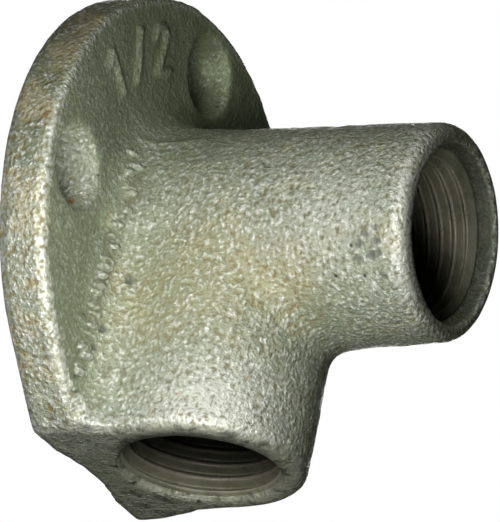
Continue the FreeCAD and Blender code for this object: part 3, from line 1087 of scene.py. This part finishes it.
    def counterbore(self, points: np.ndarray, normals: np.ndarray) -> np.ndarray:
        """Work out how the outlet's counterbore is off its centre.

        Args:
            points: Places, one row each.
            normals: Their outward directions.

        Returns:
            1 on its far wall, -1 on its near one and 0 elsewhere.
        """
        x, y, z = points.T
        wall = (x * normals[:, 0] + z * normals[:, 2] < -5.0 * MM) & (np.hypot(x, z) < 12.0 * MM)
        return (wall & (y < MOUTH + self.counterbore_depth)) * np.clip(x / (5.0 * MM), -1.0, 1.0)

    def draw_in_lip(self, points: np.ndarray, normals: np.ndarray) -> np.ndarray:
        """Draw the inlet's edge inwards to the thread's crests, as the zinc filled its first turn.

        The edge's radius is an oval, wider along Y, with a small flare at its very end.

        Args:
            points: Places, one row each.
            normals: Their outward directions.

        Returns:
            The moved places.
        """
        centre = np.array([0.0, INLET_AXIS + self.lip_shift, 0.0])
        out = points - centre
        reach = np.maximum(np.hypot(out[:, 0], out[:, 1]), MM)
        depth = points[:, 2] - END
        wall = (out[:, 0] * normals[:, 0] + out[:, 1] * normals[:, 1] < 0) & (reach < self.bore_radius)
        lip = wall & (depth < self.lip_depth)
        edge = self.lip_radius + self.lip_oval * (out[:, 1] / reach) ** 2
        target = edge + self.lip_flare * (1.0 - ramp(depth, 0.0, self.lip_flare_depth)) ** 2
        scale = np.where(lip, np.minimum(target / reach, 1.0), 1.0)
        drawn = out * np.stack([scale, scale, np.ones_like(scale)], axis=1)
        return drawn + centre

    def ease_foot(self, points: np.ndarray) -> np.ndarray:
        """Bring the far foot of the plate in to the inlet's side, more with the height above the wall.

        Args:
            points: Places, one row each.

        Returns:
            The moved places.
        """
        x, y, z = points.T
        side = INLET_SIDE + INLET_DRAFT * z
        share = ramp(-y, 3.0 * MM, 8.8 * MM) * (1.0 - ramp(z - END, 2.0 * MM, 8.0 * MM))
        foot = (x > side) & (y > -12.0 * MM)
        return np.stack([np.where(foot, x - (x - side) * share, x), y, z], axis=-1)

    def lumps(self, points: np.ndarray) -> np.ndarray:
        """Add up soft noise of several sizes, each with its own height.

        Args:
            points: Places, one row each.

        Returns:
            One height for each place, lower on the end, the back and the lip.
        """
        total = np.zeros(len(points))
        for seed, (size, height) in enumerate(zip(self.lump_sizes, self.lump_heights)):
            total += height * smooth_noise(points, size, seed)
        end = ramp(points[:, 2] - END, 0.2 * MM, 1.5 * MM)
        back = ramp(-points[:, 1], 0.1 * MM, 0.8 * MM)
        lip = ramp(points[:, 1] - MOUTH, 0.5 * MM, 4.0 * MM)
        return total * (0.3 + 0.7 * end * back * lip)

    def ridge(self, points: np.ndarray) -> np.ndarray:
        """Raise the flow ridge along the outlet's upper side: a bell curve of the angle round it.

        Args:
            points: Places, one row each.

        Returns:
            One height for each place.
        """
        x, y, z = points.T
        d = PLATE_FRONT - y
        angle = np.degrees(np.arctan2(z, x)) - self.ridge_angle + self.ridge_twist * d
        ends = ramp(d, 0.6 * MM, 1.8 * MM) * (1.0 - ramp(d, 5.0 * MM, 11.0 * MM))
        return self.ridge_height * bell(angle, self.ridge_spread) * ends

    def blobs(self, points: np.ndarray) -> np.ndarray:
        """Scatter low round blobs and hollows: bell curves about jittered lattice points.

        Args:
            points: Places, one row each.

        Returns:
            One height for each place, none at the mouth.
        """
        cell = np.floor(points / self.blob_spacing).astype(np.int64)
        total = np.zeros(len(points))
        for step in np.ndindex(3, 3, 3):
            index = cell + np.array(step) - 1
            ix, iy, iz = index.T
            jitter = np.stack([lattice_hash(ix, iy, iz, seed) for seed in (21, 22, 23)], axis=1)
            gap = np.linalg.norm(points - (index + jitter) * self.blob_spacing, axis=1)
            height = self.blob_height * (lattice_hash(ix, iy, iz, 24) - 0.45)
            total += height * bell(gap, self.blob_radius)
        return total * ramp(points[:, 1] - MOUTH, 1.0 * MM, 3.0 * MM)


@dataclass
class RootBeads:
    """Row of small beads that the mould left in the near root, from beside the outlet downwards."""

    top: float = 5.5 * MM
    pitch: float = 1.36 * MM
    count: int = 24
    half_length: float = 0.95 * MM
    half_height: float = 0.60 * MM
    half_width: float = 0.46 * MM
    stray: float = 0.7 * MM
    sunk: float = 0.05 * MM
    rings: int = 9
    sectors: int = 16

    def build(self, finish: bpy.types.Material) -> bpy.types.Object:
        """Set ellipsoids c + l cos(u) sin(v) L + w sin(u) sin(v) W + h cos(v) H on the root's arc.

        L lies across the root, W runs down it and H stands out of it. Each bead has its own share
        of the sizes and of the pitch.

        Args:
            finish: The cast finish.

        Returns:
            The beads as one piece.
        """
        number = np.arange(self.count)
        zero = np.zeros_like(number)
        chance = [lattice_hash(number, zero, zero, seed) - 0.5 for seed in (31, 32, 33, 34)]
        height = self.top - (number + 0.8 * chance[1]) * self.pitch
        across = bead_row(height) + self.stray * chance[0]
        place = np.stack([across, np.zeros(self.count), height], axis=1)

        # Place on the root's arc, and the three directions there
        e, away = beside_sockets(place)
        e = np.clip(e, 0.3 * MM, 4.0 * MM)
        d = ROOT_RADIUS - np.sqrt(ROOT_RADIUS ** 2 - (ROOT_RADIUS - e) ** 2)
        place[:, 1] = PLATE_FRONT - d
        out = np.array([0.0, -1.0, 0.0])
        lean = ((ROOT_RADIUS - e) / ROOT_RADIUS)[:, None]
        rise = ((ROOT_RADIUS - d) / ROOT_RADIUS)[:, None]
        stand, lie = away * lean + out * rise, away * rise - out * lean
        down = np.cross(stand, lie)
        place = place - stand * self.sunk

        # Rings of a ball, with its two poles last
        v = np.linspace(0.0, np.pi, self.rings)[1:-1]
        u = np.linspace(0.0, 2.0 * np.pi, self.sectors, endpoint=False)
        shell = np.stack([np.outer(np.sin(v), np.cos(u)), np.outer(np.sin(v), np.sin(u)),
                          np.outer(np.cos(v), np.ones_like(u))], axis=-1).reshape(-1, 3)
        shell = np.concatenate([shell, [[0.0, 0.0, 1.0], [0.0, 0.0, -1.0]]])
        size = 1.0 + 0.8 * chance[2]
        axes = np.stack([lie * (self.half_length * (1.0 + 0.7 * chance[3]))[:, None],
                         down * (self.half_width * size)[:, None],
                         stand * (self.half_height * size)[:, None]], axis=1)
        points = place[:, None, :] + np.einsum("kj,bji->bki", shell, axes)
        mesh = bpy.data.meshes.new("root_beads")
        mesh.from_pydata(WARP.bend(points).reshape(-1, 3), [], self.faces(len(shell)))
        mesh.update()
        return add_piece("root_beads", mesh, finish)

    def faces(self, stride: int) -> list:
        """List the quads and pole triangles of every bead, wound to face outwards.

        Args:
            stride: Number of vertices in a bead.

        Returns:
            The vertices of each face.
        """
        rings, sectors = self.rings - 2, self.sectors
        index = np.arange(rings * sectors).reshape(rings, sectors)
        right = np.roll(index, -1, axis=1)
        quads = np.stack([index[:-1], index[1:], right[1:], right[:-1]], axis=-1).reshape(-1, 4)
        top = np.stack([np.full(sectors, stride - 2), index[0], right[0]], axis=-1)
        bottom = np.stack([np.full(sectors, stride - 1), right[-1], index[-1]], axis=-1)
        starts = stride * np.arange(self.count)[:, None, None]
        listed = []
        for part in (quads, top, bottom):
            listed += (part[None] + starts).reshape(-1, part.shape[1]).tolist()
        return listed


@dataclass
class TappedBore:
    """Lining of one port: a lead-in and a helical pipe thread, closed behind in the wall.

    Depths are measured from the port's face, and the painted shadow starts deeper on one side by the
    tilt.
    """

    port: Port
    start: float
    start_radius: float
    depth: float
    lead: float
    shadow_from: float
    shadow_to: float
    shadow_tilt: float
    root_radius: float = 10.40 * MM
    crest_radius: float = 9.40 * MM
    pitch: float = 1.814 * MM
    runout: float = 1.8 * MM
    wall: float = 0.40 * MM
    around: int = 192
    per_pitch: int = 14

    def build(self, finish: bpy.types.Material) -> bpy.types.Object:
        """Sweep the profile round the axis.

        At depth s and angle a the thread's radius is the root radius less its height times a
        rounded triangle wave of s / pitch - a / turn, faded out at the thread's end. The lead-in
        is a cone from the start radius to the crests, and the wider of the two is the bore.

        Args:
            finish: The finish of turned iron.

        Returns:
            The lining.
        """
        rows = int(round((self.depth - self.start) / self.pitch * self.per_pitch))
        angle = np.linspace(0.0, 2.0 * np.pi, self.around, endpoint=False)
        s, a = np.meshgrid(np.linspace(self.start, self.depth, rows), angle, indexing="ij")
        phase = (s / self.pitch - a / (2.0 * np.pi)) % 1.0
        wave = np.clip(1.35 * (1.0 - np.abs(2.0 * phase - 1.0)) - 0.12, 0.0, 1.0)
        fade = 1.0 - ramp(s, self.depth - self.runout, self.depth)
        thread = self.root_radius - (self.root_radius - self.crest_radius) * wave * fade
        slope = np.clip((s - self.start) / self.lead, 0.0, 1.0)
        cone = self.start_radius + (self.crest_radius - self.start_radius) * slope
        inner = np.maximum(thread, cone)
        crest = ramp(inner, self.crest_radius + 0.16 * MM, self.crest_radius + 0.02 * MM)

        # Two more rows close the lining behind, in the casting's wall
        back_depth = np.array([self.depth, self.start])
        s = np.concatenate([s, np.repeat(back_depth[:, None], self.around, axis=1)])
        r = np.concatenate([inner, np.full((2, self.around), self.root_radius + self.wall)])
        a = np.repeat(angle[None, :], len(s), axis=0)
        crest = np.concatenate([crest, np.zeros((2, self.around))])
        # Painted shadow inside the bore, darker with depth and sooner on one side
        deep = ramp(s - self.shadow_tilt * r * np.sin(a), self.shadow_from, self.shadow_to)
        mesh = mesh_from_grid(f"{self.port.value}_thread", self.place(s, r, a))
        store(mesh, {"crest": crest, "deep": deep})
        return add_piece(f"{self.port.value}_thread", mesh, finish)

    def place(self, s: np.ndarray, r: np.ndarray, a: np.ndarray) -> np.ndarray:
        """Turn depth, radius and angle into places.

        Args:
            s: Depths in the port.
            r: Radii.
            a: Angles round the port's axis.

        Returns:
            Places in the CAD frame, bent as the casting is.
        """
        across, along = r * np.cos(a), r * np.sin(a)
        if self.port is Port.OUTLET:
            return WARP.bend(np.stack([across, MOUTH + s, along], axis=-1))
        return WARP.bend(np.stack([across, INLET_AXIS - along, END + s], axis=-1))


@dataclass(frozen=True)
class Studio:
    """Camera at the photograph's angle, soft light from beside it, white floor and background.

    Each lamp has its place towards the camera, to the right and up, its size and its power in watts.
    """

    ambient: float = 0.014
    ambient_tone: Colour = (0.92, 1.0, 0.75, 1.0)
    floor_tone: Colour = (0.8, 0.8, 0.8, 1.0)
    white: Colour = (1.0, 1.0, 1.0, 1.0)
    floor_height: float = -1.6
    floor_half: float = 1.0
    sensor: float = 36.0
    clip: tuple[float, float] = (0.01, 50.0)
    lamps: tuple = (
        ("near", (0.10, -0.004, -0.005), 0.03, 0.064),
        ("front", (0.9, -0.05, -0.05), 0.25, 1.0),
        ("high", (0.6, -0.16, 0.67), 0.3, 1.4),
        ("behind", (-0.95, 0.0, 0.0), 0.4, 6.0),
    )

    def build(self) -> None:
        """Set up camera, lights, floor and world."""
        self.camera()
        for name, (ahead, right, up), size, power in self.lamps:
            self.lamp(name, TO_CAMERA * ahead + PHOTO_RIGHT * right + PHOTO_UP * up, size, power)
        self.floor()
        self.world()
        bpy.context.scene.view_settings.view_transform = "Standard"

    def camera(self) -> None:
        """Place the camera so that the object has the photograph's scale and angle."""
        data = bpy.data.cameras.new("camera")
        data.sensor_width = self.sensor
        data.lens = FOCAL_PIXELS / max(PHOTO_SIZE) * self.sensor
        data.clip_start, data.clip_end = self.clip
        camera = bpy.data.objects.new("camera", data)
        bpy.context.scene.collection.objects.link(camera)
        turn = Matrix((PHOTO_RIGHT, PHOTO_UP, TO_CAMERA)).transposed().to_4x4()
        camera.matrix_world = Matrix.Translation(CAMERA_PLACE) @ turn
        bpy.context.scene.camera = camera

    def lamp(self, name: str, place: Vector, size: float, power: float) -> None:
        """Hang a square soft box that faces the object.

        Args:
            name: Name of the lamp.
            place: Its middle.
            size: Its side.
            power: Its power in watts.
        """
        data = bpy.data.lights.new(name, "AREA")
        data.size, data.energy = size, power
        lamp = bpy.data.objects.new(name, data)
        lamp.visible_camera = False
        bpy.context.scene.collection.objects.link(lamp)
        turn = place.to_track_quat("Z", "Y").to_matrix().to_4x4()
        lamp.matrix_world = Matrix.Translation(place) @ turn

    def floor(self) -> None:
        """Lay the pale floor, far below because the camera looks up from under the part."""
        half, height = self.floor_half, self.floor_height
        mesh = bpy.data.meshes.new("floor")
        mesh.from_pydata([(-half, -half, height), (half, -half, height), (half, half, height),
                          (-half, half, height)], [], [(0, 1, 2, 3)])
        floor = bpy.data.objects.new("floor", mesh)
        bpy.context.scene.collection.objects.link(floor)
        material, made = new_material("pale_floor")
        seen = made.larger(*self.rays(made))
        pale = made.node("BsdfDiffuse", {"Color": self.floor_tone})
        white = made.node("Emission", {"Color": self.white, "Strength": 1.0})
        both = made.node("MixShader", {0: seen, 1: pale.outputs[0], 2: white.outputs[0]})
        clear = made.node("BsdfTransparent")
        below = made.node("NewGeometry").outputs["Backfacing"]
        shown = made.node("MixShader", {0: below, 1: both.outputs[0], 2: clear.outputs[0]})
        made.node("OutputMaterial", {"Surface": shown.outputs[0]})
        mesh.materials.append(material)

    def rays(self, made: Shader) -> tuple[Socket, Socket]:
        """Return 1 for camera rays, and 1 for glossy and transmission rays."""
        path = made.node("LightPath").outputs
        return path["Is Camera Ray"], made.larger(path["Is Glossy Ray"], path["Is Transmission Ray"])

    def world(self) -> None:
        """Make the background white where it is seen, and the ambient light low."""
        world = bpy.data.worlds.new("studio")
        bpy.context.scene.world = world
        world.use_nodes = True
        made = Shader(world.node_tree)
        direct, shiny = self.rays(made)
        ray = made.node("TexCoord").outputs["Generated"]
        behind = made.node("VectorMath", {0: ray, 1: tuple(-TO_CAMERA)}, operation="DOT_PRODUCT")
        backdrop = made.between(behind.outputs["Value"], 0.90, 0.98)
        seen = made.larger(direct, made.times(shiny, backdrop))
        dim = made.node("Background", {"Color": self.ambient_tone, "Strength": self.ambient})
        white = made.node("Background", {"Color": self.white, "Strength": 1.0})
        shown = made.node("MixShader", {0: seen, 1: dim.outputs[0], 2: white.outputs[0]})
        made.node("OutputWorld", {"Surface": shown.outputs[0]})


def main() -> None:
    """Build the pieces in order, then the studio."""
    logging.basicConfig(level=logging.INFO, format="%(name)s: %(message)s")
    specks = speck_group()
    cast, turned = GalvanisedCast().build(specks), TurnedIron().build(specks)
    CastingSkin().build(cast)
    RootBeads().build(cast)
    TappedBore(Port.OUTLET, start=2.15 * MM, start_radius=10.6 * MM, depth=15.2 * MM, lead=0.75 * MM,
               shadow_from=1.5 * MM, shadow_to=8.3 * MM, shadow_tilt=0.65).build(turned)
    TappedBore(Port.INLET, start=0.6 * MM, start_radius=10.4 * MM, depth=14.2 * MM, lead=0.3 * MM,
               shadow_from=-5.0 * MM, shadow_to=7.0 * MM, shadow_tilt=0.0).build(turned)
    Studio().build()


if __name__ == "__main__":
    main()
